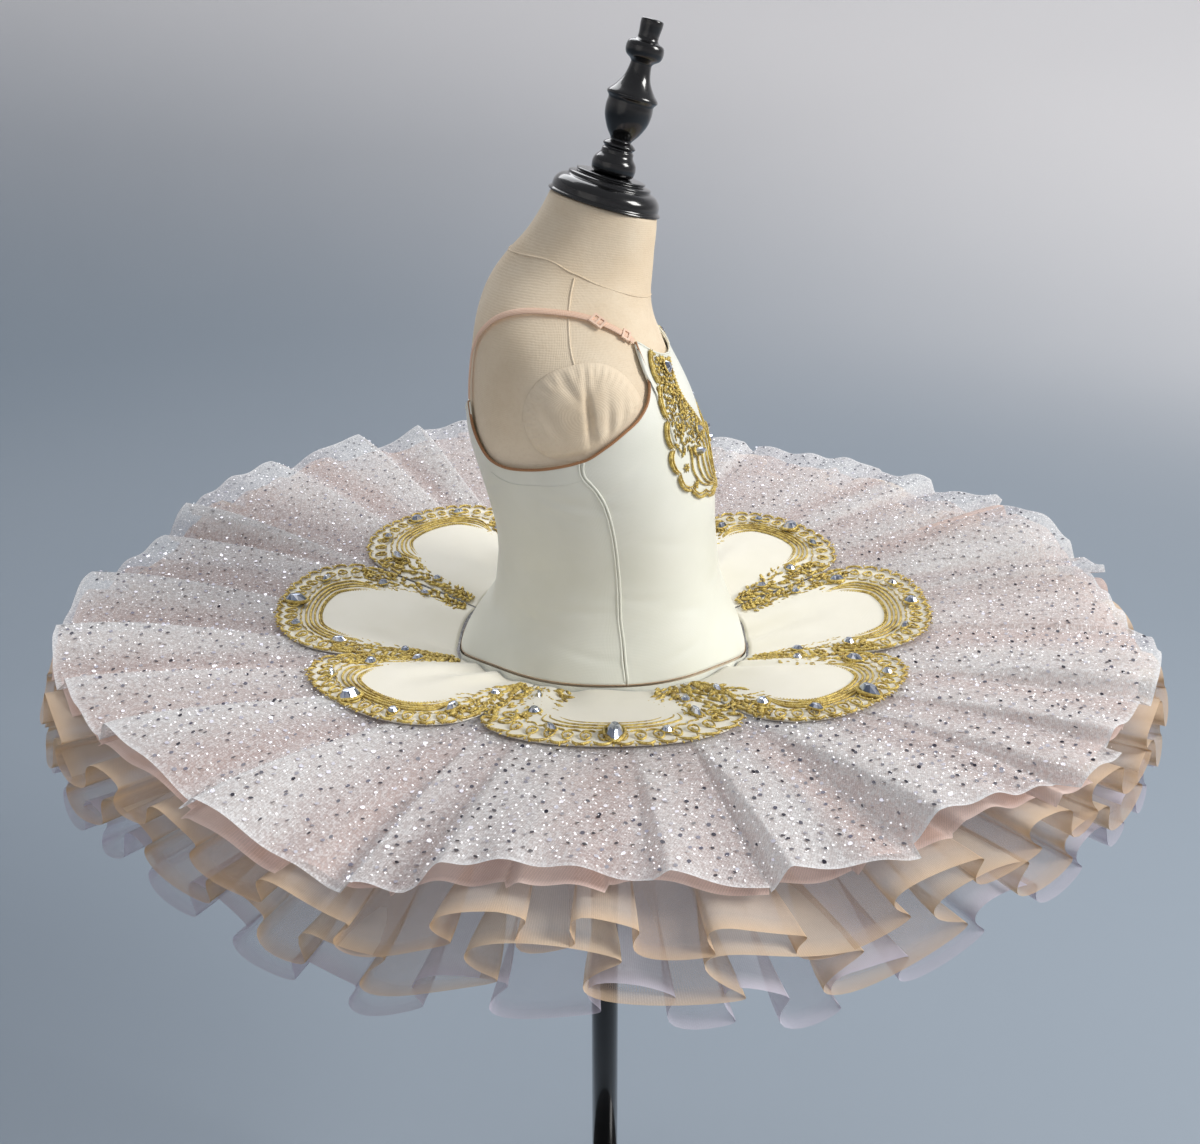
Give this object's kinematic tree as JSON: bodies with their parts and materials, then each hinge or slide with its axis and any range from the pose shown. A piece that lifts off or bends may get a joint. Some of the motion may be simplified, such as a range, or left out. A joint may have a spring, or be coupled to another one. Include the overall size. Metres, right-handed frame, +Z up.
{
  "type": "ballet tutu on a dress form",
  "caption": "Child's ballet tutu with a satin bodice, gold lace on satin petals and a flat layered tulle skirt, on a limbless dress form with a pole and round base.",
  "frame": {"origin": "on the floor at the centre of the base's underside", "axes": "+Z up along the pole; the garment's front faces -Y and the wearer's right side is at -X"},
  "size_m": [0.7268, 0.7358, 1.0845],
  "materials": {
    "gloss_black": "black gloss lacquer",
    "linen": "fine linen jersey",
    "satin": "stretch satin, soft sheen",
    "binding": "narrow matt binding",
    "elastic": "narrow woven elastic",
    "clear_slider": "smooth moulded plastic",
    "gold_lace": "metallic thread guipure lace",
    "tulle_glitter": "glitter net with sequins",
    "tulle_pink": "soft net",
    "tulle_peach": "soft net",
    "tulle_cream": "soft net",
    "tulle_lilac": "stiff net"
  },
  "bodies": {
    "root": {"armhole_binding_left": "binding", "armhole_binding_right": "binding", "base_disc": "gloss_black", "bodice_back": "satin", "bodice_front": "satin", "bodice_lace_left": "gold_lace", "bodice_lace_right": "gold_lace", "finial": "gloss_black", "form_torso": "linen", "hip_yoke": "satin", "lace_back": "gold_lace", "lace_back_left": "gold_lace", "lace_back_right": "gold_lace", "lace_front": "gold_lace", "lace_front_left": "gold_lace", "lace_front_right": "gold_lace", "lace_side_left": "gold_lace", "lace_side_right": "gold_lace", "neck_cap": "gloss_black", "petal_back": "satin", "petal_back_left": "satin", "petal_back_right": "satin", "petal_front": "satin", "petal_front_left": "satin", "petal_front_right": "satin", "petal_side_left": "satin", "petal_side_right": "satin", "pole": "gloss_black", "pole_collar": "gloss_black", "shoulder_cap_left": "linen", "shoulder_cap_right": "linen", "strap_left": "elastic", "strap_right": "elastic", "strap_ring_left": "clear_slider", "strap_ring_right": "clear_slider", "strap_slider_left": "clear_slider", "strap_slider_right": "clear_slider", "tulle_1_glitter": "tulle_glitter", "tulle_2_pink": "tulle_pink", "tulle_3_peach": "tulle_peach", "tulle_4_cream": "tulle_cream", "tulle_5_lilac": "tulle_lilac"}
  },
  "joints": []
}
